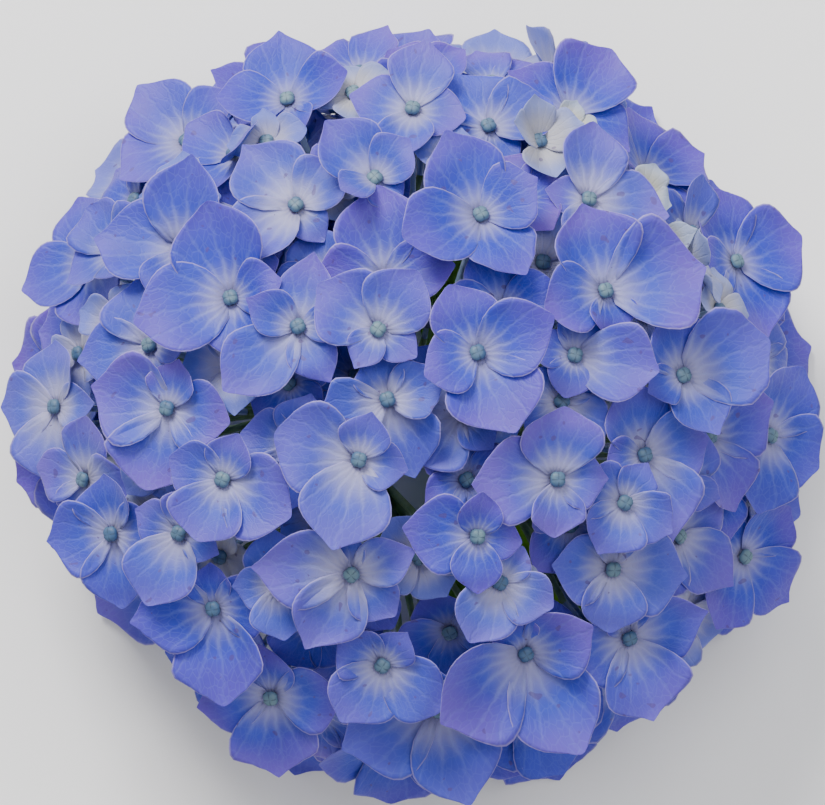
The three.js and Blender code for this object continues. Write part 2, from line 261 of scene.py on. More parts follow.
def make_object(name: str, patches: list[Patch], finishes: list[bpy.types.Material], facts: dict[str, float]
                ) -> bpy.types.Object:
    """Joins patches into one smooth-shaded object at the origin.

    Args:
        name: the piece's name.
        patches: its surfaces, in millimetres.
        finishes: the materials, in the order of the patches' slots.
        facts: numbers that are the same all over the piece, stored as attributes for its materials.

    Returns:
        The new object, linked to the scene.
    """
    start = np.cumsum([0] + [len(p.points) for p in patches])
    points = np.concatenate([p.points for p in patches]) * MM
    faces, slots = [], []
    for patch, first in zip(patches, start):
        for quad in (patch.quads + first).tolist():
            faces.append(quad[:3] if quad[2] == quad[3] else quad)
            slots.append(patch.slot)
    mesh = bpy.data.meshes.new(name)
    mesh.from_pydata(points.tolist(), [], faces)
    mesh.polygons.foreach_set("material_index", slots)
    mesh.polygons.foreach_set("use_smooth", [True] * len(faces))
    corners = np.empty(len(mesh.loops), np.int32)
    mesh.loops.foreach_get("vertex_index", corners)
    coordinates = np.concatenate([p.uv for p in patches])[corners]
    layer = mesh.uv_layers.new(name="Surface")
    layer.data.foreach_set("uv", coordinates.astype(np.float32).ravel())
    values = {fact: np.full(len(points), value) for fact, value in facts.items()}
    values["underside"] = np.concatenate([p.under for p in patches])
    values["rim"] = np.concatenate([p.rim for p in patches])
    for fact, value in values.items():
        mesh.attributes.new(fact, "FLOAT", "POINT").data.foreach_set("value", value.astype(np.float32))
    for finish in finishes:
        mesh.materials.append(finish)
    mesh.update()
    piece = bpy.data.objects.new(name, mesh)
    bpy.context.scene.collection.objects.link(piece)
    return piece


# ------------------------------------------------------------------------------ finishes
class Nodes:
    """A short way to lay out the nodes of one material or group."""

    def __init__(self, tree: bpy.types.NodeTree) -> None:
        """Works in a node tree."""
        self.tree = tree

    def add(self, kind: str, values: dict | None = None, **settings) -> bpy.types.Node:
        """Adds a node.

        Args:
            kind: the node's type, without the leading ShaderNode.
            values: what its inputs get, by name or number: a socket to link, or a plain value.
            settings: properties of the node.

        Returns:
            The node.
        """
        node = self.tree.nodes.new(kind if kind.startswith("Node") else "ShaderNode" + kind)
        for setting, value in settings.items():
            setattr(node, setting, value)
        for key, value in (values or {}).items():
            if isinstance(value, bpy.types.NodeSocket):
                self.tree.links.new(value, node.inputs[key])
            else:
                node.inputs[key].default_value = value
        return node

    def math(self, operation: str, *values: object) -> bpy.types.NodeSocket:
        """A Math node's result."""
        return self.add("Math", dict(enumerate(values)), operation=operation).outputs[0]

    def times(self, first: object, second: object) -> bpy.types.NodeSocket:
        """The product of two values."""
        return self.math("MULTIPLY", first, second)

    def less(self, whole: object, part: object) -> bpy.types.NodeSocket:
        """A value less another."""
        return self.math("SUBTRACT", whole, part)

    def mix(self, share: object, first: object, second: object) -> bpy.types.NodeSocket:
        """Two colours mixed."""
        return self.add("Mix", {0: share, 6: first, 7: second}, data_type="RGBA").outputs[2]

    def remap(self, value: object, low: float, high: float, start: float = 0.0, end: float = 1.0
              ) -> bpy.types.NodeSocket:
        """A value carried smoothly from one range to another, and held inside it."""
        inputs = {0: value, 1: low, 2: high, 3: start, 4: end}
        return self.add("MapRange", inputs, interpolation_type="SMOOTHSTEP").outputs[0]

    def noise(self, vector: object, scale: float, detail: float = 3.0) -> bpy.types.NodeSocket:
        """A noise value."""
        return self.add("TexNoise", {"Vector": vector, "Scale": scale, "Detail": detail}).outputs[0]

    def bump(self, height: object, strength: float, distance: float) -> bpy.types.NodeSocket:
        """A normal that follows a height."""
        return self.add("Bump", {"Height": height, "Strength": strength, "Distance": distance}).outputs[0]


def colour(red: int, green: int, blue: int) -> tuple[float, float, float, float]:
    """A display colour, 0 to 255, as linear light."""
    shares = (red / 255.0, green / 255.0, blue / 255.0)
    return (*(((share + 0.055) / 1.055) ** 2.4 for share in shares), 1.0)


def blank_material(name: str) -> tuple[bpy.types.Material, Nodes]:
    """A material without nodes, and what lays them out."""
    material = bpy.data.materials.new(name)
    material.use_nodes = True
    material.node_tree.nodes.clear()
    return material, Nodes(material.node_tree)


def socket(tree: bpy.types.NodeTree, name: str, kind: str, inward: bool, value: object = None) -> None:
    """Adds a named socket to a group.

    Args:
        tree: the group.
        name: the socket's name.
        kind: Float, Color or Vector.
        inward: True for an input.
        value: an input's value where nothing is linked.
    """
    way = "INPUT" if inward else "OUTPUT"
    made = tree.interface.new_socket(name, in_out=way, socket_type="NodeSocket" + kind)
    if value is not None:
        made.default_value = value


def vein_group() -> bpy.types.NodeTree:
    """The veins of a sepal or leaf, which run out from its base like the ribs of a fan.

    The angle round the base, divided by the ribs' spacing, tells how far a place is from the
    nearest rib; times the distance from the base, that is a length, so a rib keeps its width.

    Returns:
        The group.  In: the place on the blade as shares of its reach, the spacing in radians and the
        width.  Out: fine ribs, broad soft rays, a fine net, and the distance from the base.
    """
    tree = bpy.data.node_groups.new("Veins", "ShaderNodeTree")
    socket(tree, "Surface", "Vector", True)
    socket(tree, "Spacing", "Float", True, 0.25)
    socket(tree, "Width", "Float", True, 0.02)
    for name in ("Ribs", "Rays", "Net", "Distance"):
        socket(tree, name, "Float", False)
    nodes = Nodes(tree)
    inputs = nodes.add("NodeGroupInput").outputs
    surface, spacing, width = inputs["Surface"], inputs["Spacing"], inputs["Width"]
    place = nodes.add("SeparateXYZ", {0: surface}).outputs
    distance = nodes.add("VectorMath", {0: surface}, operation="LENGTH").outputs["Value"]
    angle = nodes.math("ARCTAN2", place[1], place[0])
    wander = nodes.times(nodes.less(nodes.noise(surface, 4.0), 0.5), 0.26)
    off = nodes.math("PINGPONG", nodes.math("DIVIDE", nodes.math("ADD", angle, wander), spacing), 0.5)
    length = nodes.times(nodes.times(off, spacing), distance)
    ribs = nodes.less(1.0, nodes.remap(nodes.math("DIVIDE", length, width), 0.0, 1.0))
    rays = nodes.remap(off, 0.42, 0.0)
    stretched = nodes.add("Mapping", {"Vector": surface, "Scale": (9.0, 15.0, 1.0)}).outputs[0]
    cells = nodes.add("TexVoronoi", {"Vector": stretched, "Scale": 1.0}, feature="DISTANCE_TO_EDGE")
    net = nodes.less(1.0, nodes.remap(cells.outputs["Distance"], 0.0, 0.10))
    out = nodes.add("NodeGroupOutput")
    for name, value in (("Ribs", ribs), ("Rays", rays), ("Net", net), ("Distance", distance)):
        tree.links.new(value, out.inputs[name])
    return tree


@dataclass(frozen=True)
class SepalFinish:
    """Sepals: periwinkle blue, lilac outward, pale round the bud with soft rays and fine ribs, a painted
    highlight on the rim.
    """

    blue: tuple = colour(56, 72, 204)
    deep: tuple = colour(40, 50, 178)
    lilac: tuple = colour(118, 80, 200)
    sky: tuple = colour(98, 124, 222)
    heart: tuple = colour(192, 188, 212)
    rib: tuple = colour(142, 160, 234)
    # painted highlight: a pale line along every rim, for the light a rim catches where it turns up
    edge: tuple = colour(196, 182, 240)
    back: tuple = colour(104, 130, 208)
    cream: tuple = colour(208, 208, 190)
    young: tuple = colour(160, 178, 214)
    line: tuple = colour(96, 70, 130)
    rib_spacing: float = 0.33  # radians between the ribs of the fan
    rib_width: float = 0.03  # as a share of the sepal's reach
    cloud_scale: float = 55.0  # of the slow noise that moves lilac and rays about
    mottle_scale: float = 160.0
    speck_scale: float = 480.0
    grain_scale: float = 900.0
    relief: float = 0.35
    relief_depth: float = 0.0002
    roughness: float = 0.5
    through: float = 0.32  # share of the light that comes through

    def material(self, veins: bpy.types.NodeTree) -> bpy.types.Material:
        """Builds the material.

        Args:
            veins: the vein group.

        Returns:
            The material.
        """
        material, nodes = blank_material("sepal")
        fact = {name: nodes.add("Attribute", attribute_name=name).outputs["Fac"]
                for name in ("hue", "pale", "young", "underside", "rim")}
        surface = nodes.add("UVMap", uv_map="Surface").outputs[0]
        place = nodes.add("TexCoord").outputs["Object"]
        broad, mottle = nodes.noise(place, self.cloud_scale, 2.0), nodes.noise(place, self.mottle_scale, 4.0)
        fan = {"Surface": surface, "Spacing": self.rib_spacing, "Width": self.rib_width}
        vein = nodes.add("Group", fan, node_tree=veins).outputs
        distance = vein["Distance"]
        out = nodes.math("ADD", distance, nodes.times(nodes.less(broad, 0.5), 0.9))
        lilac = nodes.times(nodes.remap(out, 0.35, 1.05), fact["hue"])
        tint = nodes.mix(nodes.remap(mottle, 0.35, 0.68, 0.0, 0.5), self.blue, self.deep)
        tint = nodes.mix(lilac, tint, self.lilac)
        tint = nodes.mix(nodes.times(fact["pale"], 0.75), tint, self.sky)
        reach = nodes.times(fact["pale"], 0.45)
        ray = nodes.times(vein["Rays"], nodes.times(broad, 0.11))
        depth = nodes.less(nodes.less(distance, ray), reach)
        heart = nodes.remap(depth, 0.46, -0.06, 0.0, 0.84)
        tint = nodes.mix(heart, tint, self.heart)
        faint = nodes.remap(distance, 0.95, 0.3, 0.06, 0.20)
        tint = nodes.mix(nodes.times(vein["Ribs"], faint), tint, self.rib)
        tint = nodes.mix(nodes.times(vein["Net"], 0.10), tint, self.rib)
        near = nodes.remap(distance, 0.26, 0.14, 0.0, 0.45)
        threads = nodes.times(nodes.times(vein["Ribs"], near), broad)
        tint = nodes.mix(threads, tint, self.line)
        tint = nodes.mix(nodes.times(fact["underside"], 0.45), tint, self.back)
        # painted highlight: the outermost hundredths of the rim are mixed towards the pale edge colour, as
        # if they caught the light
        tint = nodes.mix(nodes.remap(fact["rim"], 0.955, 0.995, 0.0, 0.6), tint, self.edge)
        aged = nodes.mix(nodes.remap(out, 0.35, 0.95, 0.0, 0.8), self.cream, self.young)
        tint = nodes.mix(fact["young"], tint, aged)
        speck = nodes.times(nodes.remap(nodes.noise(place, self.speck_scale, 0.0), 0.80, 0.81), 0.55)
        tint = nodes.mix(speck, tint, self.line)
        relief = nodes.less(nodes.times(nodes.noise(place, self.grain_scale, 2.0), 0.5),
                            nodes.math("ADD", vein["Ribs"], nodes.times(vein["Net"], 0.4)))
        bump = nodes.bump(relief, self.relief, self.relief_depth)
        principled = nodes.add("BsdfPrincipled", {
            "Base Color": tint, "Roughness": self.roughness, "Normal": bump, "Sheen Weight": 0.2,
            "Sheen Roughness": 0.4, "Specular IOR Level": 0.35})
        lit_through = nodes.add("BsdfTranslucent", {"Color": tint, "Normal": bump})
        parts = {0: self.through, 1: principled.outputs[0], 2: lit_through.outputs[0]}
        nodes.add("OutputMaterial", {"Surface": nodes.add("MixShader", parts).outputs[0]})
        return material


@dataclass(frozen=True)
class GreenFinish:
    """Stalks, buds and leaves: two tones mixed by a noise, with a fine grain."""

    name: str
    light: tuple
    dark: tuple
    roughness: float = 0.5
    mottle_scale: float = 160.0
    grain_scale: float = 1400.0
    relief: float = 0.3
    relief_depth: float = 0.0003
    ribs: float = 0.0  # radians between the ribs, or 0 for none
    rib_width: float = 0.016  # as a share of the blade's length
    rib: tuple = colour(150, 190, 90)
    seam: tuple | None = None  # the colour of the furrows, where the piece has some

    def material(self, veins: bpy.types.NodeTree) -> bpy.types.Material:
        """Builds the material.

        Args:
            veins: the vein group.

        Returns:
            The material.
        """
        material, nodes = blank_material(self.name)
        place = nodes.add("TexCoord").outputs["Object"]
        mottle = nodes.remap(nodes.noise(place, self.mottle_scale, 4.0), 0.3, 0.7)
        tone = nodes.mix(mottle, self.light, self.dark)
        height = nodes.noise(place, self.grain_scale, 2.0)
        if self.ribs:
            surface = nodes.add("UVMap", uv_map="Surface").outputs[0]
            fan = {"Surface": surface, "Spacing": self.ribs, "Width": self.rib_width}
            vein = nodes.add("Group", fan, node_tree=veins).outputs
            tone = nodes.mix(nodes.times(vein["Ribs"], 0.6), tone, self.rib)
            height = nodes.less(height, vein["Net"])
        if self.seam:
            furrow = nodes.add("Attribute", attribute_name="rim").outputs["Fac"]
            tone = nodes.mix(nodes.remap(furrow, 0.35, 1.0, 0.0, 0.85), tone, self.seam)
        bump = nodes.bump(height, self.relief, self.relief_depth)
        shader = {"Base Color": tone, "Roughness": self.roughness, "Normal": bump}
        principled = nodes.add("BsdfPrincipled", shader)
        nodes.add("OutputMaterial", {"Surface": principled.outputs[0]})
        return material


GREEN_FINISHES = (
    GreenFinish("bud", colour(90, 118, 130), colour(56, 86, 122), 0.55, seam=colour(44, 62, 84)),
    GreenFinish("pedicel", colour(150, 168, 196), colour(110, 132, 158)),
    GreenFinish("stem", colour(140, 172, 120), colour(96, 136, 88)),
    GreenFinish("leaf", colour(146, 214, 36), colour(98, 172, 20), 0.42, ribs=0.3),
    GreenFinish("unopened", colour(92, 98, 134), colour(56, 66, 98), 0.45, seam=colour(24, 22, 40)),
)


@dataclass
class Palette:
    """Every finish of the flower, built once."""

    sepal: bpy.types.Material = field(init=False)
    bud: bpy.types.Material = field(init=False)
    pedicel: bpy.types.Material = field(init=False)
    stem: bpy.types.Material = field(init=False)
    leaf: bpy.types.Material = field(init=False)
    unopened: bpy.types.Material = field(init=False)

    def __post_init__(self) -> None:
        """Builds the materials."""
        veins = vein_group()
        self.sepal = SepalFinish().material(veins)
        for finish in GREEN_FINISHES:
            setattr(self, finish.name, finish.material(veins))


# ------------------------------------------------------------------------------ places
@dataclass
class FloretPlace:
    """Where one floret sits on the head and how its sepals lie."""

    name: str
    centre: np.ndarray
    facing: np.ndarray
    foot: np.ndarray
    axes: np.ndarray | None = None
    angles: np.ndarray | None = None
    reaches: np.ndarray | None = None
    node: str | None = None
    age: Age | None = None
    cupped: float | None = None
    hidden: bool = False  # deep in the head, where a coarser surface does


def joined_corners(mesh: bpy.types.Mesh) -> tuple[np.ndarray, np.ndarray]:
    """The separate corner points of a solid whose triangles come loose.

    Args:
        mesh: the solid's mesh.

    Returns:
        The points in millimetres, and for each triangle the numbers of its three points.
    """
    raw = np.empty(len(mesh.vertices) * 3, np.float32)
    mesh.vertices.foreach_get("co", raw)
    points = raw.reshape(-1, 3).astype(float) / MM
    mesh.calc_loop_triangles()
    corners = np.empty(len(mesh.loop_triangles) * 3, np.int32)
    mesh.loop_triangles.foreach_get("vertices", corners)
    together = np.linalg.norm(points[:, None] - points[None], axis=2) < SAME_POINT
    kept, number = np.unique(together.argmax(axis=1), return_inverse=True)
    return points[kept], number[corners.reshape(-1, 3)]


def rings_from(apex: int, triangles: np.ndarray, count: int) -> np.ndarray:
    """How many edges each point of a solid is from its apex.

    Args:
        apex: the point to start from.
        triangles: the solid's triangles.
        count: how many points it has.

    Returns:
        The number of edges for each point.
    """
    ring = np.full(count, -1)
    ring[apex] = 0
    step = 0
    while (ring < 0).any() and step < count:
        reached = np.unique(triangles[(ring[triangles] == step).any(axis=1)])
        ring[reached[ring[reached] < 0]] = step + 1
        step += 1
    return ring


def measure_floret(node: bpy.types.Object) -> FloretPlace:
    """Reads a floret's place back from its solid.

    The solid is turned from rings of points.  From the top of the bud they are the bud's foot, the
    middle of the sepals, their rim, the middle of their underside, the top of the pedicel, its foot
    and the middle of that foot.  The rim has four points for each sepal: its tip, a shoulder, the
    notch beside it and the next shoulder.

    Args:
        node: the solid.

    Returns:
        The floret's place.
    """
    points, triangles = joined_corners(node.data)
    fans = np.bincount(triangles.ravel(), minlength=len(points))
    ends = np.argsort(fans)[-2:]
    spread = [np.linalg.norm(points[triangles[(triangles == end).any(axis=1)]] - points[end], axis=2).max()
              for end in ends]
    apex = int(ends[int(np.argmax(spread))])
    ring = rings_from(apex, triangles, len(points))
    bud_foot = points[ring == 1].mean(axis=0)
    facing = unit(points[apex] - bud_foot)
    centre = bud_foot - facing * BUD_FOOT_HEIGHT
    towards = np.array([0.0, 0.0, 1.0]) if abs(facing[2]) < 0.7 else np.array([0.0, 1.0, 0.0])
    axes = face_axes(facing, towards)
    rim = (points[ring == 3] - centre) @ axes.T
    angle = np.arctan2(rim[:, 1], rim[:, 0])
    rim, angle = rim[np.argsort(angle)], np.sort(angle)
    radius = np.hypot(rim[:, 0], rim[:, 1])
    notch = min(range(RIM_POINTS), key=lambda shift: radius[shift::RIM_POINTS].sum())
    tips = np.arange(len(radius) // RIM_POINTS) * RIM_POINTS + (notch + RIM_POINTS // 2) % RIM_POINTS
    foot = points[int(ends[int(np.argmin(spread))])]
    return FloretPlace(node.name, centre, facing, foot, axes, angle[tips], radius[tips], node.name)


def measured_florets() -> list[FloretPlace]:
    """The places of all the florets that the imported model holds."""
    names = sorted(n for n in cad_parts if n.startswith("floret_"))
    return [measure_floret(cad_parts[name]) for name in names]


@dataclass(frozen=True)
class Fill:
    """How deep a floret of the fill sits, and how its sepals' reach follows from the room it has."""

    depths: tuple[float, float]
    share: float  # of the room
    sizes: tuple[float, float]


OUTER_FILL = Fill((0.0, 5.0), 0.66, (13.0, 17.0))
INNER_FILL = Fill((4.0, 10.0), 0.74, (11.5, 16.5))


@dataclass
class Head:
    """The shape of the whole head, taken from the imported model's box and its florets."""

    places: list[FloretPlace]
    ring_share: float = 0.34  # height of the widest ring, as a share of the head's height
    spacing: float = 17.5  # closest that two florets' middles may be
    facing_share: float = 0.62  # how far a floret leans out, as a share of its place's polar angle
    wall_drop: float = 24.0  # how far the head's wall runs down below its widest ring
    wall_span: float = 30.0  # degrees past 90 over which it does
    wall_taper: float = 0.06  # share of the radius that the wall draws in on its way down
    pedicel: float = 22.0
    outer_share: float = 0.78  # florets further out than this share of the radius set the outline
    girth_blur: float = 16.0  # degrees over which the outline is smoothed
    fill_depth: float = 6.0
    fill_share: float = 0.74  # a place nearer than this share of the spacing to a floret is not filled
    fill_tries: int = 900
    fill_fall: float = 1.38  # how far down the tries run, where 1 is the widest ring
    fill_stretch: float = 1.35  # how much faster they run down the wall
    fill_outer: float = 68.0  # polar angle from which the fill sits near the surface and is larger
    fill_nod: float = 10.0  # degrees that a floret of the fill may lean off its facing
    fill_turn: float = 14.0  # degrees that it may lean to one side
    golden_turn: float = 137.508  # degrees from one try to the next
    most_lean: float = 100.0  # polar angle past which florets lean out no further
    small_facing: float = 0.5  # what facing_share is to the small florets
    closer_depth: float = 15.0  # how deep the florets sit that close the last gaps
    closer_foot: float = 26.0
    closer_margin: float = 9.0  # how much longer their sepals are than the gap is wide
    closer_sizes: tuple[float, float] = (12.0, 16.0)
    closer_top: float = 60.0  # polar angle up to which they lean out half as far
    fives: float = 0.06  # share of the fill that has five sepals

    def __post_init__(self) -> None:
        """Works out the dome from the florets' middles."""
        centres = np.array([p.centre for p in self.places])
        top = float(np.array(CAD_BOX[1])[2]) / MM
        away = np.hypot(centres[:, 0], centres[:, 1])
        self.ring_height = top * self.ring_share
        self.radius = float(np.percentile(away, 96))
        self.rise = float(centres[:, 2].max()) - self.ring_height
        self.fork = np.array([0.0, 0.0, self.ring_height])
        outer = away > self.outer_share * self.radius
        self.outer_away = away[outer]
        self.outer_azimuth = np.degrees(np.arctan2(centres[outer, 1], centres[outer, 0]))
        self.usual_extent = float(np.percentile([self.extent(azimuth) for azimuth in range(0, 360, 10)], 60))

    def extent(self, azimuth: float) -> float:
        """How far the head reaches in a direction.

        It is the mean distance of the outer florets, weighted by a bell curve of the angle between
        their direction and this one.

        Args:
            azimuth: degrees from +X.

        Returns:
            The distance from the head's axis.
        """
        turn = (self.outer_azimuth - azimuth + 180.0) % 360.0 - 180.0
        weight = np.exp(-(turn / self.girth_blur) ** 2)
        return float((weight * self.outer_away).sum() / weight.sum())

    def girth(self, azimuth: float) -> float:
        """The head's extent in a direction as a share of its usual one, no more than 1."""
        return min(self.extent(azimuth) / self.usual_extent, 1.0)

    def on_shell(self, polar: float, azimuth: float, depth: float) -> np.ndarray:
        """A point on the head's surface, sunk towards the fork.

        Args:
            polar: degrees from the top; past 90 the surface is a wall that runs down.
            azimuth: degrees from +X.
            depth: how far below the surface.

        Returns:
            The point.
        """
        outward = leaning(90.0, azimuth)
        outward *= 1.0 + (self.girth(azimuth) - 1.0) * min(polar / 90.0, 1.0) ** 2
        if polar <= 90.0:
            angle = math.radians(polar)
            point = outward * self.radius * math.sin(angle)
            point[2] = self.ring_height + self.rise * math.cos(angle)
        else:
            share = (polar - 90.0) / self.wall_span
            point = outward * self.radius * (1.0 - self.wall_taper * share)
            point[2] = self.ring_height - self.wall_drop * share
        return point + unit(self.fork - point) * depth

    def seen_at(self, across: float, up: float) -> tuple[float, float]:
        """Polar angle and azimuth, in degrees, of a place seen from above in hundredths of the radius."""
        return (math.degrees(math.asin(min(1.0, math.hypot(across, up) / 100.0))),
                math.degrees(math.atan2(up, across)))

    @staticmethod
    def scattered(place: FloretPlace, size: float, spread: tuple[float, float], sway: float,
                  rng: np.random.Generator, fives: float = 0.0) -> FloretPlace:
        """Draws how a floret's sepals lie.

        Args:
            place: its place so far.
            size: the usual reach of its sepals.
            spread: the least and the most of a sepal's reach, as shares of the size.
            sway: radians that a sepal may stand off its even place.
            rng: the seeded source of chance.
            fives: how likely five sepals are.

        Returns:
            The place with its axes, angles and reaches.
        """
        place.axes = face_axes(place.facing, leaning(90.0, rng.uniform(0.0, 360.0)))
        count = 5 if fives and rng.random() < fives else 4
        place.angles = np.arange(count) * 2.0 * np.pi / count + rng.uniform(-sway, sway, count)
        place.reaches = size * rng.uniform(*spread, count)
        return place

    def small(self, rng: np.random.Generator) -> list[FloretPlace]:
        """The places of the small florets between the large ones.

        Args:
            rng: the seeded source of chance.

        Returns:
            The places.
        """
        made = []
        for number, floret in enumerate(SMALL_FLORETS, 1):
            polar, azimuth = self.seen_at(floret.across, floret.up)
            centre, foot = (self.on_shell(polar, azimuth, depth) for depth in (floret.depth, self.pedicel))
            facing = leaning(polar * self.small_facing + floret.turned, azimuth)
            place = FloretPlace(f"small_floret_{number:02d}", centre, facing, foot, age=floret.age,
                                cupped=floret.cupped)
            made.append(self.scattered(place, floret.reach, (0.85, 1.15), 0.15, rng))
        return made

    def fill(self, rng: np.random.Generator) -> list[FloretPlace]:
        """Places smaller florets wherever the head is still open, each as far as it can be from the rest.

        The tries run down the head in a spiral of golden turns.

        Args:
            rng: the seeded source of chance.

        Returns:
            The new places.
        """
        turns = np.arange(self.fill_tries)
        height = 1.0 - (turns + 0.5) / self.fill_tries * self.fill_fall
        polar = np.degrees(np.arccos(np.clip(height, -1.0, 1.0)))
        polar = np.where(polar > 90.0, 90.0 + (polar - 90.0) * self.fill_stretch, polar)
        azimuth = (turns * self.golden_turn) % 360.0
        spots = np.array([self.on_shell(p, a, self.fill_depth) for p, a in zip(polar, azimuth)])
        taken = np.array([p.centre for p in self.places])
        near = np.min(np.linalg.norm(spots[:, None] - taken[None], axis=2), axis=1)
        made: list[FloretPlace] = []
        while near.max() >= self.spacing * self.fill_share:
            best = int(near.argmax())
            where = (float(polar[best]), float(azimuth[best]), float(near[best]))
            made.append(self.filler(len(made), *where, rng))
            near = np.minimum(near, np.linalg.norm(spots - spots[best], axis=1))
        return made

    def filler(self, number: int, polar: float, azimuth: float, room: float, rng: np.random.Generator
               ) -> FloretPlace:
        """One floret of the fill.

        Args:
            number: how many inner florets there are already.
            polar: degrees from the top of the head.
            azimuth: degrees from +X.
            room: distance to the nearest floret before it.
            rng: the seeded source of chance.

        Returns:
            Its place.
        """
        kind = OUTER_FILL if polar > self.fill_outer else INNER_FILL
        centre = self.on_shell(polar, azimuth, rng.uniform(*kind.depths))
        lean = min(polar, self.most_lean) * self.facing_share + rng.uniform(-self.fill_nod, self.fill_nod)
        facing = leaning(lean, azimuth + rng.uniform(-self.fill_turn, self.fill_turn))
        foot = self.on_shell(polar, azimuth, self.pedicel)
        place = FloretPlace(f"inner_floret_{number + 1:02d}", centre, facing, foot, hidden=True)
        size = np.clip(room * kind.share, *kind.sizes)
        return self.scattered(place, size, (0.82, 1.14), 0.12, rng, self.fives)

    def closer(self, number: int, polar: float, azimuth: float, width: float, rng: np.random.Generator
               ) -> FloretPlace:
        """A deep floret that closes a gap.

        Args:
            number: how many inner florets there are already.
            polar: degrees from the top of the head to the middle of the gap.
            azimuth: degrees from +X.
            width: distance from there to the gap's edge.
            rng: the seeded source of chance.

        Returns:
            Its place.
        """
        share = self.facing_share * (0.5 if polar < self.closer_top else 1.0)
        facing = leaning(min(polar, self.most_lean) * share, azimuth)
        centre = self.on_shell(polar, azimuth, self.closer_depth)
        foot = self.on_shell(polar, azimuth, self.closer_foot)
        place = FloretPlace(f"inner_floret_{number + 1:02d}", centre, facing, foot, hidden=True)
        size = np.clip(width + self.closer_margin, *self.closer_sizes)
        return self.scattered(place, size, (0.9, 1.1), 0.12, rng)


# ------------------------------------------------------------------------------ florets
class Age(Enum):
    """How far a floret has opened and coloured: its paleness and how much of it is still cream."""

    FULL = (0.0, 0.0)
    PALE = (0.75, 0.12)
    WHITISH = (0.9, 0.5)
    CREAM = (0.7, 0.95)


@dataclass(frozen=True)
class SmallFloret:
    """A small floret between the large ones: its place seen from above, reach, age and how it lies."""

    across: float  # hundredths of the head's radius
    up: float
    reach: float
    age: Age
    depth: float = 3.0
    turned: float = 0.0  # degrees that its face leans further out than its neighbours'
    cupped: float = 0.25


SMALL_FLORETS = (
    SmallFloret(35, 71, 8.5, Age.WHITISH, 0.0, cupped=0.5),
    SmallFloret(43, 77, 7.0, Age.CREAM, 1.0, cupped=0.6),
    SmallFloret(-25, 60, 9.0, Age.WHITISH, 3.0),
    SmallFloret(-17, 88, 8.5, Age.WHITISH, 1.0),
    SmallFloret(-42, 74, 8.5, Age.PALE, 3.0),
    SmallFloret(24, -5, 8.5, Age.PALE, 6.0),
    SmallFloret(2, -48, 10.5, Age.PALE, 6.0),
    SmallFloret(-76, -19, 10.0, Age.PALE, 5.0),
    SmallFloret(-78, -36, 9.5, Age.WHITISH, 5.0),
    SmallFloret(66, 58, 6.5, Age.CREAM, 3.0, cupped=0.6),
    SmallFloret(70, 44, 7.0, Age.CREAM, 4.0, cupped=0.6),
    SmallFloret(77, 39, 11.0, Age.WHITISH, 1.0, turned=45.0),
    SmallFloret(-46, 16, 7.5, Age.CREAM, 5.0, cupped=0.5),
    SmallFloret(-66, 56, 10.0, Age.PALE, 3.0),
    SmallFloret(3, 93, 11.0, Age.FULL, 1.0),
    SmallFloret(50, 82, 9.5, Age.PALE, 1.0),
    SmallFloret(88, 26, 10.0, Age.WHITISH, 3.0, turned=20.0),
    SmallFloret(93, 15, 9.0, Age.WHITISH, 3.0, turned=20.0),
    SmallFloret(-57, -47, 8.5, Age.WHITISH, 4.0),
    SmallFloret(26, -52, 8.5, Age.WHITISH, 6.0, turned=-20.0),
    SmallFloret(50, 2, 8.0, Age.WHITISH, 5.0),
    SmallFloret(-6, -15, 7.5, Age.CREAM, 8.0),
    SmallFloret(12, 72, 8.0, Age.PALE, 5.0),
    SmallFloret(-86, 22, 9.5, Age.PALE, 4.0),
    SmallFloret(-52, 9, 11.5, Age.FULL, 5.0),
    SmallFloret(-38, 4, 10.5, Age.FULL, 8.0),
    SmallFloret(-52, 72, 11.5, Age.FULL, 4.0, turned=20.0),
)

CLOSED_BUDS = ((49, -10), (53, -13), (-16, 14), (-11, 16), (-13, 10), (5, 25), (61, 10), (-5, 30))


# least and most of what differs from sepal to sepal, in the order in which it is drawn
SEPAL_HABITS = {"curl": (0.0, 2.2), "trough": (0.15, 0.75), "buckle": (-0.8, 0.8), "wave": (0.15, 0.7),
                "phase": (0.0, 6.28), "point": (0.66, 0.98), "shoulder": (0.5, 0.75), "widest": (0.46, 0.57),
                "skew": (-0.09, 0.09)}


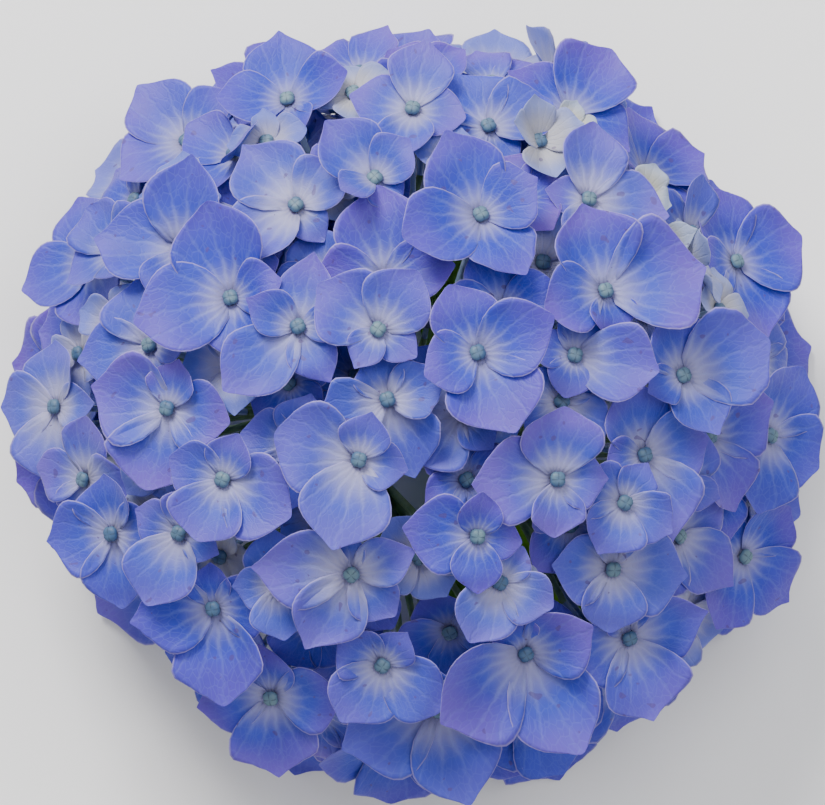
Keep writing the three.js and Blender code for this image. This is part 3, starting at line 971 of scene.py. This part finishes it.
@dataclass
class SepalShape:
    """One sepal: a broad blade with a blunt point, cupped, with a slightly wavy rim."""

    reach: float
    angle: float
    breadth: float  # greatest half width, as a share of the reach
    lift: float  # radians that the blade is raised from its base
    base: float  # height of its base: the inner pair of sepals grows just above the outer pair
    roll: float  # radians that it is turned about its own length
    curl: float  # how far the tip bends back
    trough: float  # how deeply it is cupped from side to side
    buckle: float  # how far its middle tips to one side
    wave: float  # how far the rim goes up and down
    phase: float
    point: float  # power of the outline at the tip: 1 is a sharp point, lower is blunter
    shoulder: float  # power of the outline at the base: lower is broader
    widest: float  # share of the reach at which it is widest
    skew: float  # how far the tip leans to one side, as a share of the reach
    teeth: float  # depth of the rim's small teeth, as a share of the half width
    rest: float  # the least height above the table, a little different for each sepal
    grid: int  # points along the blade, and across it
    thickness: float = 0.26

    def blade(self) -> tuple[np.ndarray, np.ndarray, np.ndarray]:
        """The upper face of the blade in the floret's own frame.

        The blade runs outward from the bud.  Its half width is a sine of a power of the distance,
        itself raised to a power, which gives a narrow base, broad shoulders and a point.  The point
        is drawn out a little and leans to one side.  The height is a cup that rises with the square
        of the distance, less a bend near the tip, plus a trough across, a slow buckle and a wave at
        the rim, with a sunken midrib and two side ribs.  The whole is rolled about its own length
        and lifted.

        Returns:
            grid x grid x 3 points; the same points before they are raised, as shares of the reach;
            and how near each is to the rim.
        """
        step = np.linspace(0.0, 1.0, self.grid)[:, None]
        along = 0.06 + 0.94 * np.sin(step * np.pi / 2.0) ** 0.9
        across = np.linspace(-1.0, 1.0, self.grid)[None, :]
        power = math.log(0.5) / math.log(self.widest)
        fall = self.shoulder + (self.point - self.shoulder) * smooth(0.3, 0.6, along)
        arch = np.clip(np.sin(np.pi * np.clip(along, 0.0, 1.0) ** power), 0.0, 1.0) ** fall
        broad = arch * self.breadth * self.reach
        saw = np.sin(along * 41.0 + self.phase) * np.sin(along * 23.0 + 2.0 * self.phase)
        toothed = broad * (1.0 + self.teeth * saw * smooth(0.4, 0.6, along))
        half = np.maximum(toothed, 0.9 * (1.0 - step) + 0.05)
        x = along * self.reach * (1.0 + 0.03 * smooth(0.93, 1.0, along)) + 0.0 * across
        y = half * across + self.skew * self.reach * along ** 3
        far, side = np.hypot(x, y) / 16.0, y / self.reach
        z = 2.4 * far ** 2 - self.curl * smooth(0.5, 1.05, along) ** 1.5
        z = z + self.trough * self.reach * side ** 2
        z = z + self.buckle * arch * np.sin(across * 2.3 + self.phase) * smooth(0.2, 0.8, along)
        ripple = np.sin(along * 8.0 + self.phase + np.sign(across) * 1.3)
        z = z + self.wave * arch * np.abs(across) ** 3 * smooth(0.25, 0.7, along) * ripple
        ribs = np.exp(-(across / 0.10) ** 2) + 0.5 * np.exp(-((np.abs(across) - 0.45) / 0.10) ** 2)
        z = z - 0.2 * ribs * smooth(1.0, 0.4, along) * smooth(0.05, 0.2, along)
        points = np.stack([x, y, z + self.base + y * math.tan(self.roll) + x * math.tan(self.lift)], -1)
        cos, sin = math.cos(self.angle), math.sin(self.angle)
        turned = np.stack([points[..., 0] * cos - points[..., 1] * sin,
                           points[..., 0] * sin + points[..., 1] * cos, points[..., 2]], -1)
        flat = np.stack([x, y], -1) / self.reach
        rim = np.maximum(np.abs(across), smooth(0.985, 1.0, along))
        return turned, flat, rim

    def patch(self) -> Patch:
        """The sepal as a thin closed shell that thins out to its rim."""
        over, flat, rim = self.blade()
        thin = self.thickness * (1.0 - 0.65 * rim ** 5)
        under = over - np.stack([np.zeros_like(thin), np.zeros_like(thin), thin], -1)
        return shell(over, under, flat, rim)


@dataclass
class Floret:
    """One floret: its sepals, the four-lobed bud in the middle and the pedicel below."""

    place: FloretPlace
    rng: np.random.Generator
    bud_radius: float = 1.85
    bud_height: float = 2.3
    pedicel_radius: float = 0.75
    toothed_share: float = 0.18  # of the florets, which have toothed sepals
    long_teeth: float = 0.05
    short_teeth: float = 0.012
    pale_share: float = 0.12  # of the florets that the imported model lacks, which stay pale
    most_cupping: float = 0.34  # radians
    rest_spread: float = 1.4  # how differently high its sepals may rest on the table
    open_grid: int = 15
    hidden_grid: int = 11

    def __post_init__(self) -> None:
        """Draws this floret's habits."""
        rng = self.rng
        count = len(self.place.angles)
        cupping = self.most_cupping * rng.random() ** 2.2 - 0.02
        handed = 1.0 if rng.random() < 0.5 else -1.0
        slim = rng.uniform(0.0, 0.07)
        toothed = rng.random() < self.toothed_share
        # painted light: the mean lilac share rises a little towards the key lamp's side (+Y and −X), so
        # florets there come out lighter lilac
        toward_key_lamp = (self.place.centre[1] - 0.6 * self.place.centre[0]) / 100.0
        self.hue = float(np.clip(rng.normal(0.68 + 0.04 * toward_key_lamp, 0.24), 0.1, 1.0))
        self.pale = float(np.clip(rng.normal(0.16, 0.16), 0.0, 0.9))
        self.young = 0.0
        if self.place.node is None and rng.random() < self.pale_share:
            self.pale, self.young = Age.PALE.value
        if self.place.age not in (None, Age.FULL):
            self.pale, self.young = self.place.age.value
        if self.place.cupped is not None:
            cupping = self.place.cupped
        self.sepals = []
        for index in range(count):
            crowd = math.sin(math.pi / count) / math.sin(math.pi / 4.0)
            self.sepals.append(SepalShape(
                reach=float(self.place.reaches[index]) * rng.uniform(1.0, 1.05),
                angle=float(self.place.angles[index]),
                breadth=float(rng.uniform(0.49, 0.64) - slim) * crowd,
                lift=cupping + (PAIR_LIFT if index % 2 else -PAIR_LIFT) + rng.uniform(-0.03, 0.04),
                roll=handed * rng.uniform(0.02, 0.10),
                base=PAIR_BASE * (index % 2),
                **{habit: rng.uniform(*limits) for habit, limits in SEPAL_HABITS.items()},
                teeth=self.long_teeth if toothed else self.short_teeth,
                rest=TABLE_CLEARANCE + rng.uniform(0.0, self.rest_spread),
                grid=self.hidden_grid if self.place.hidden else self.open_grid,
            ))

    def to_head(self, points: np.ndarray, lowest: float | np.ndarray = TABLE_CLEARANCE) -> np.ndarray:
        """Carries points from the floret's own frame to the head, where none sinks into the table.

        Args:
            points: the points in the floret's frame.
            lowest: the least height above the table, for all the points or for each.

        Returns:
            The points on the head.
        """
        placed = points @ self.place.axes + self.place.centre
        placed[..., 2] = np.maximum(placed[..., 2], lowest)
        return placed

    def tree(self, sepal: SepalShape) -> BVHTree:
        """The upper face of a sepal in its place, ready to be tested against others."""
        over = self.to_head(sepal.blade()[0], sepal.rest).reshape(-1, 3)
        return BVHTree.FromPolygons(over.tolist(), grid_quads(sepal.grid, sepal.grid, False).tolist())

    def settle(self, others: list[tuple[np.ndarray, BVHTree]]) -> None:
        """Raises, lowers or shortens each sepal until it clears the sepals that are there before it.

        Args:
            others: middle and surface of each of those sepals; this floret's own are added.
        """
        near = [tree for middle, tree in others if np.linalg.norm(middle - self.place.centre) < NEAR]
        if self.place.node is None:
            self.sink_bud(near)
        own = []
        for sepal in self.sepals:
            lift, reach = sepal.lift, sepal.reach
            best = None
            for size, nudge in SETTLING:
                sepal.lift, sepal.reach = lift + nudge, reach * size
                tree = self.tree(sepal)
                clashes = sum(len(tree.overlap(other)) for other in near)
                if best is None or clashes < best[0]:
                    best = (clashes, size, nudge, tree)
                if clashes == 0:
                    break
            sepal.lift, sepal.reach = lift + best[2], reach * best[1]
            outward = unit(self.to_head(sepal.blade()[0])[-1, 0] - self.place.centre)
            own.append((self.place.centre + outward * reach / 2, best[3]))
        others.extend(own)

    def sink_bud(self, near: list[BVHTree]) -> None:
        """Sinks the floret towards its foot until no sepal runs through its bud."""
        inward, facing = unit(self.place.foot - self.place.centre), Vector(self.place.facing)
        for _ in range(BUD_SINKS):
            start = Vector(self.place.centre - self.place.facing * BUD_ROOM)
            if all(tree.ray_cast(start, facing, 3.0 * BUD_ROOM)[0] is None for tree in near):
                return
            self.place.centre = self.place.centre + inward * BUD_SINK

    def bud(self) -> Patch:
        """The bud: a flattened ball pinched by four furrows that meet at its top.

        Its radius in each direction is one less a small share of the cosine of four times the
        angle round the axis, which pinches it in the furrows.

        Returns:
            The closed ball.
        """
        rows, columns = 8, 16
        polar = np.linspace(0.0, np.pi * 0.82, rows)[:, None]
        around = np.linspace(0.0, 2.0 * np.pi, columns, endpoint=False)[None, :]
        lobes = 0.5 + 0.5 * np.cos(4.0 * around)
        radius = self.bud_radius * (1.0 - 0.13 * lobes ** 4 * np.sin(np.clip(polar, 0.25, np.pi / 2.0)))
        x = radius * np.sin(polar) * np.cos(around + self.place.angles[0])
        y = radius * np.sin(polar) * np.sin(around + self.place.angles[0])
        dimple = 0.35 * np.exp(-(np.sin(polar) / 0.3) ** 2)
        z = self.bud_height * 0.5 * (1.0 + np.cos(polar)) - dimple + 0.15 + 0.0 * around
        points = np.stack(np.broadcast_arrays(x, y, z), -1).reshape(-1, 3)
        ends = [[0.0, 0.0, points[0, 2]], [0.0, 0.0, points[-1, 2]]]
        ball = closed_ball(points, ends, lobes ** 6 * smooth(1.5, 0.9, polar), 1)
        ball.points = self.to_head(ball.points)
        return ball

    def stalk(self) -> Patch:
        """The pedicel: a thin tube that leaves the sepals square and bends to its foot."""
        place = self.place
        start = place.centre - place.facing * 0.35
        bend = start - place.facing * np.linalg.norm(place.foot - start) * 0.4
        radii = self.pedicel_radius * (1.0 + 0.5 * np.exp(-np.linspace(0.0, 1.0, 8) * 12.0))
        return tube(bent_path(start, bend, place.foot, 8), radii, 8, 2)

    def build(self, palette: Palette) -> bpy.types.Object:
        """Makes the floret's piece.

        Args:
            palette: the finishes.

        Returns:
            The piece, riding on the flower.
        """
        patches = []
        for sepal in self.sepals:
            patch = sepal.patch()
            lowest = sepal.rest - patch.under * (TABLE_CLEARANCE - LEAST_CLEARANCE)
            patch.points = self.to_head(patch.points, lowest)
            patches.append(patch)
        patches += [self.bud(), self.stalk()]
        facts = {"hue": self.hue, "pale": self.pale, "young": self.young}
        name = self.place.name if self.place.node is None else self.place.name + "_sepals"
        piece = make_object(name, patches, [palette.sepal, palette.bud, palette.pedicel], facts)
        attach(piece, BODY)
        if self.place.node:
            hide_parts(self.place.node)
        return piece


@dataclass
class Gaps:
    """The gaps through which one can see past the florets.

    Lines are dropped from straight above on a square grid of places, and others run from outside
    the head towards its fork.  A line that meets no sepal on its way in is in a gap.
    """

    head: Head
    step: float = 3.0  # between the lines from above
    turn: float = 4.0  # degrees between the lines towards the fork
    share: float = 0.8  # of the radius, inside which the lines from above run
    lowest: float = 108.0  # degrees from the top to the lowest lines towards the fork
    outside: float = 40.0  # how far outside the head the lines start
    inside: float = 40.0  # how far inside it the lines towards the fork end
    most_above: int = 16  # florets spent on gaps seen from above
    most_round: int = 10  # florets spent on gaps seen from the sides

    def __post_init__(self) -> None:
        """Lays out the lines, and closes those from above that meet a leaf."""
        head = self.head
        span = head.radius * self.share
        line = np.arange(-span, span, self.step)
        spots = np.stack(np.meshgrid(line, line, indexing="ij"), -1).reshape(-1, 2)
        spots = spots[np.hypot(spots[:, 0], spots[:, 1]) < span]
        self.angles = [head.seen_at(*(spot * 100.0 / head.radius)) for spot in spots]
        above = len(self.angles)
        for polar in np.arange(self.turn, self.lowest, self.turn):
            count = max(int(360.0 * math.sin(math.radians(min(polar, 90.0))) / self.turn), 6)
            self.angles += [(float(polar), float(azimuth)) for azimuth in np.arange(count) * 360.0 / count]
        self.shell = np.array([head.on_shell(*angle, 0.0) for angle in self.angles])
        ways = head.fork - self.shell
        self.ways = ways / np.linalg.norm(ways, axis=1, keepdims=True)
        self.ways[:above] = [0.0, 0.0, -1.0]
        self.reaches = np.full(len(self.angles), self.outside + self.inside)
        self.reaches[:above] += head.rise + head.ring_height
        self.above = np.arange(len(self.angles)) < above
        self.open = np.ones(len(self.angles), bool)
        for node in LEAVES:
            self.cover(*joined_corners(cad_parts[node].data), self.above)

    def cover(self, points: np.ndarray, faces: np.ndarray, asked: np.ndarray) -> None:
        """Closes those of the lines asked for that meet a surface."""
        tree = BVHTree.FromPolygons(points.tolist(), faces.tolist())
        for index in np.flatnonzero(self.open & asked):
            way = Vector(self.ways[index])
            start = Vector(self.shell[index]) - way * self.outside
            self.open[index] = tree.ray_cast(start, way, float(self.reaches[index]))[0] is None

    def cover_florets(self, florets: list[Floret]) -> None:
        """Closes the lines that meet the sepals of some florets."""
        grids, quads, count = [], [], 0
        for floret in florets:
            for sepal in floret.sepals:
                grids.append(floret.to_head(sepal.blade()[0], sepal.rest).reshape(-1, 3))
                quads.append(grid_quads(sepal.grid, sepal.grid, False) + count)
                count += len(grids[-1])
        self.cover(np.concatenate(grids), np.concatenate(quads), np.ones(len(self.open), bool))

    def widest(self, asked: np.ndarray) -> tuple[float, float, float] | None:
        """Polar angle, azimuth and half width of the widest gap among some lines, or None without a gap."""
        gaps, rest = np.flatnonzero(self.open & asked), np.flatnonzero(~self.open & asked)
        if not len(gaps):
            return None
        away = np.linalg.norm(self.shell[gaps][:, None] - self.shell[rest][None], axis=2).min(axis=1)
        return (*self.angles[gaps[away.argmax()]], float(away.max()))


@dataclass
class ClosedBud:
    """A floret that has not opened: a dark round bud with four seams, on its own short pedicel."""

    number: int
    polar: float
    azimuth: float
    radius: float = 2.7
    depth: float = 9.0
    stalk_radius: float = 0.6

    def build(self, head: Head, palette: Palette) -> "ClosedBud":
        """Makes the bud's piece.

        The ball's radius is drawn in along four seams, by a cosine of four times the angle raised
        to a power, and its top is drawn up to a low point.

        Args:
            head: the head it sits in.
            palette: the finishes.

        Returns:
            This bud, with its piece and the foot of its pedicel.
        """
        centre = head.on_shell(self.polar, self.azimuth, self.depth)
        self.foot = head.on_shell(self.polar, self.azimuth, head.pedicel)
        facing = unit(centre - self.foot)
        axes = face_axes(facing, leaning(90.0, self.azimuth + 40.0 * self.number))
        rows, columns = 12, 24
        polar = np.linspace(0.02, np.pi - 0.25, rows)[:, None]
        around = np.linspace(0.0, 2.0 * np.pi, columns, endpoint=False)[None, :]
        seam = (0.5 + 0.5 * np.cos(4.0 * around)) ** 6 + 0.0 * polar
        radius = self.radius * (1.0 - 0.09 * seam * np.sin(polar))
        height = self.radius * np.cos(polar) * (1.0 + 0.10 * np.exp(-(polar / 0.5) ** 2))
        ball = np.stack(np.broadcast_arrays(radius * np.sin(polar) * np.cos(around),
                                            radius * np.sin(polar) * np.sin(around), height), -1)
        points = ball.reshape(-1, 3) @ axes + centre
        ends = [points[:columns].mean(axis=0), points[-columns:].mean(axis=0)]
        path = np.linspace(centre - facing * self.radius * 0.9, self.foot, 6)
        patches = [closed_ball(points, ends, seam), tube(path, np.full(6, self.stalk_radius), 8, 1)]
        finishes = [palette.unopened, palette.pedicel]
        self.piece = make_object(f"closed_bud_{self.number}", patches, finishes, {})
        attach(self.piece, BODY)
        return self


# ------------------------------------------------------------------------------ peduncle and leaves
@dataclass
class Peduncle:
    """The cut stem with its rays, and an arm to the foot of every pedicel."""

    feet: list[np.ndarray]
    fork_height: float
    stem_radius: float = 4.0
    ray_radius: float = 1.5
    arm_radius: float = 0.95
    rays: int = 5
    hub_share: float = 0.45  # how far out on its ray the arms leave it
    middle_radius: float = 25.0  # feet nearer the axis than this hang on the ray to the middle

    def build(self, palette: Palette) -> bpy.types.Object:
        """Makes the peduncle's piece.

        Args:
            palette: the finishes.

        Returns:
            The piece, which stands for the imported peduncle.
        """
        low = np.array(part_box("peduncle")[0]) / MM
        fork = np.array([0.0, 0.0, self.fork_height])
        heights = np.linspace(low[2], self.fork_height, 7)
        path = np.stack([np.zeros(7), np.zeros(7), heights], -1)
        patches = [tube(path, self.stem_radius * np.linspace(0.94, 1.0, 7), 20)]
        groups: dict[object, list[np.ndarray]] = {}
        for foot in self.feet:
            inner = np.hypot(foot[0], foot[1]) < self.middle_radius
            turn = math.atan2(foot[1], foot[0]) / (2 * math.pi) % 1.0
            groups.setdefault("middle" if inner else int(turn * self.rays), []).append(foot)
        for group in groups.values():
            hub = fork + (np.mean(group, axis=0) - fork) * self.hub_share
            patches.append(self.limb(fork - [0.0, 0.0, 3.0], hub, self.ray_radius * 1.3, self.ray_radius))
            patches += [self.limb(hub, foot, self.arm_radius * 1.1, self.arm_radius * 0.8) for foot in group]
        piece = make_object("peduncle_grown", patches, [palette.stem], {})
        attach(piece, BODY)
        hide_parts("peduncle")
        return piece

    @staticmethod
    def limb(start: np.ndarray, end: np.ndarray, thick: float, thin: float) -> Patch:
        """A limb that leaves its parent upward and bends out to its end."""
        bend = start + (end - start) * 0.5 + np.array([0.0, 0.0, 0.12]) * np.linalg.norm(end - start)
        radii = thick + (thin - thick) * np.linspace(0.0, 1.0, 7)
        return tube(bent_path(start, bend, end, 7), radii, 7)


@dataclass
class Leaf:
    """A broad pointed leaf with a toothed rim and a sunken midrib, in the place of its solid."""

    node: str
    rows: int = 40
    columns: int = 17
    thickness: float = 0.5
    teeth: int = 17

    def build(self, palette: Palette) -> bpy.types.Object:
        """Makes the leaf's piece.

        The blade follows its solid: from the vertex nearest the stem to the farthest one.  Its half
        width rises like a sine to the widest place and falls to a point; saw teeth are cut along it.

        Args:
            palette: the finishes.

        Returns:
            The piece.
        """
        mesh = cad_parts[self.node].data
        points = np.array([v.co[:] for v in mesh.vertices]) / MM
        away = np.hypot(points[:, 0], points[:, 1])
        near, far = away.min(), away.max()
        tip = points[away.argmax()]
        heading = unit(np.array([tip[0], tip[1], 0.0]))
        sideways = np.array([-heading[1], heading[0], 0.0])
        half_width = float(np.abs(points @ sideways).max())
        top = float(points[:, 2].max())
        share = np.linspace(0.0, 1.0, self.rows)[:, None]
        across = np.linspace(-1.0, 1.0, self.columns)[None, :]
        blade = np.clip((share - 0.14) / 0.86, 0.0, 1.0)
        shape = np.sin(np.pi * blade ** 0.72) ** 0.85 * (1.0 - 0.12 * blade)
        tooth = 1.0 + 0.035 * (((share * self.teeth) % 1.0) - 0.5) * smooth(0.2, 0.3, share)
        half = np.maximum(half_width * shape * tooth, 1.4 * smooth(1.0, 0.9, share) + 0.15)
        along = near + (far - near) * share + 0.10 * half * np.abs(across) ** 1.5
        y = half * across
        fall = np.clip(1.0 - share / 0.45, 0.0, 1.0) ** 2 * (top - 1.2)
        rib = 0.7 * (1.0 - np.exp(-(y / 1.2) ** 2)) * smooth(0.05, 0.3, share)
        ridges = np.cos((share * 9.0 - np.abs(across) * 1.6) * 2.0 * np.pi)
        pucker = 0.35 * ridges * np.abs(across) ** 0.5 * shape
        z = 0.9 + fall + rib + pucker * smooth(0.2, 0.4, share) + 0.0 * across
        along, y, z = np.broadcast_arrays(np.minimum(along, far), y, z)
        up = np.array([0.0, 0.0, 1.0])
        over = along[..., None] * heading + y[..., None] * sideways + z[..., None] * up
        under = over - up * self.thickness
        flat = np.stack([along - near, y], -1) / (far - near)
        rim = np.maximum(np.abs(across), share + 0.0 * across)
        piece = make_object(self.node + "_blade", [shell(over, under, flat, rim)], [palette.leaf], {})
        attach(piece, BODY)
        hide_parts(self.node)
        return piece


# ------------------------------------------------------------------------------ stage
class LightKind(Enum):
    """What a soft lamp is for."""

    KEY = "key"
    FILL = "fill"
    RIM = "rim"


@dataclass(frozen=True)
class SoftLamp:
    """A large square lamp that points at the flower."""

    kind: LightKind
    place: tuple[float, float, float]
    size: float
    watts: float
    tint: tuple[float, float, float]

    def build(self, target: Vector) -> None:
        """Sets the lamp up, pointed at the target."""
        data = bpy.data.lights.new(self.kind.value, "AREA")
        data.size, data.energy, data.color = self.size, self.watts, self.tint
        lamp = bpy.data.objects.new(self.kind.value, data)
        lamp.location = self.place
        lamp.rotation_euler = (target - Vector(self.place)).to_track_quat("-Z", "Y").to_euler()
        bpy.context.scene.collection.objects.link(lamp)


@dataclass
class Studio:
    """The pale floor, the light and the camera that looks down on the flower."""

    distance: float = 1.1  # from the camera to the flower
    elevation: float = 88.0  # of the camera, in degrees
    floor_side: float = 3.0  # half the floor's width

    def build(self) -> None:
        """Builds the whole stage."""
        low, high = (Vector(c) for c in CAD_BOX)
        middle = (low + high) / 2.0
        self.floor()
        self.world()
        for lamp in (SoftLamp(LightKind.KEY, (-0.40, 0.84, 0.84), 0.5, 24.4, (1.0, 0.98, 0.95)),
                     SoftLamp(LightKind.FILL, (0.35, 0.35, 1.2), 0.8, 7.6, (0.97, 0.98, 1.0)),
                     SoftLamp(LightKind.RIM, (0.4, -0.9, 0.6), 0.8, 1.8, (1.0, 0.95, 0.92))):
            lamp.build(middle)
        self.camera(low, high, middle)

    def floor(self) -> None:
        """A wide pale floor on which the flower lies."""
        side = self.floor_side
        corners = [(-side, -side, 0), (side, -side, 0), (side, side, 0), (-side, side, 0)]
        mesh = bpy.data.meshes.new("floor")
        mesh.from_pydata(corners, [], [(0, 1, 2, 3)])
        material = bpy.data.materials.new("floor")
        material.use_nodes = True
        principled = material.node_tree.nodes["Principled BSDF"]
        principled.inputs["Base Color"].default_value = (0.93, 0.93, 0.93, 1.0)
        principled.inputs["Roughness"].default_value = 0.8
        mesh.materials.append(material)
        piece = bpy.data.objects.new("floor", mesh)
        bpy.context.scene.collection.objects.link(piece)

    @staticmethod
    def world() -> None:
        """A pale even sky."""
        world = bpy.data.worlds.new("sky")
        world.use_nodes = True
        background = world.node_tree.nodes["Background"]
        background.inputs["Color"].default_value = (0.97, 0.97, 1.0, 1.0)
        background.inputs["Strength"].default_value = 0.6
        bpy.context.scene.world = world

    def camera(self, low: Vector, high: Vector, middle: Vector) -> None:
        """The camera, high above the flower, framing it edge to edge.

        Args:
            low: the lowest corner of the flower's box.
            high: the highest corner.
            middle: its middle.
        """
        data = bpy.data.cameras.new("camera")
        data.sensor_fit = "HORIZONTAL"
        lean = math.radians(self.elevation)
        target = Vector((middle.x, middle.y, high.z * 0.45))
        place = target + self.distance * Vector((0.0, -math.cos(lean), math.sin(lean)))
        data.angle = 2.0 * math.atan((high.x - low.x) / 2.0 / self.distance)
        data.clip_start = 0.01
        camera = bpy.data.objects.new("camera", data)
        camera.location = place
        camera.rotation_euler = (target - place).to_track_quat("-Z", "Y").to_euler()
        bpy.context.scene.collection.objects.link(camera)
        bpy.context.scene.camera = camera


def report(piece: bpy.types.Object) -> None:
    """Logs a finished piece."""
    LOG.info("%s: %d faces", piece.name, len(piece.data.polygons))


def grown_florets(head: Head, rng: np.random.Generator) -> list[Floret]:
    """All the florets of the head, settled among one another.

    Args:
        head: the head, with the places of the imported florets.
        rng: the seeded source of chance.

    Returns:
        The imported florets, the small ones, the fill and those that close the last gaps.
    """
    measured = len(head.places)
    head.places = head.places + head.small(rng)
    inner = head.fill(rng)
    LOG.info("florets: %d packed, %d small, %d fill", measured, len(head.places) - measured, len(inner))
    placed: list[tuple[np.ndarray, BVHTree]] = []
    florets = [Floret(place, rng) for place in head.places + inner]
    for floret in florets:
        floret.settle(placed)
    gaps = Gaps(head)
    gaps.cover_florets(florets)
    number = len(inner)
    for asked, most in ((gaps.above, gaps.most_above), (~gaps.above, gaps.most_round)):
        last = number + most
        while number < last and (gap := gaps.widest(asked)):
            florets.append(Floret(head.closer(number, *gap, rng), rng))
            florets[-1].settle(placed)
            gaps.cover_florets(florets[-1:])
            number += 1
        LOG.info("inner florets: %d, widest gap left: %s", number, gaps.widest(asked))
    return florets


def main() -> None:
    """Builds the flower and its stage."""
    logging.basicConfig(level=logging.INFO, format="%(message)s")
    Studio().build()
    palette = Palette()
    head = Head(measured_florets())
    florets = grown_florets(head, np.random.default_rng(SEED))
    feet = [floret.place.foot for floret in florets]
    for floret in florets:
        report(floret.build(palette))
    for number, place in enumerate(CLOSED_BUDS, 1):
        bud = ClosedBud(number, *head.seen_at(*place)).build(head, palette)
        feet.append(bud.foot)
        report(bud.piece)
    report(Peduncle(feet, head.ring_height + FORK_ABOVE_RING).build(palette))
    for node in LEAVES:
        report(Leaf(node).build(palette))


if __name__ == "__main__":
    main()
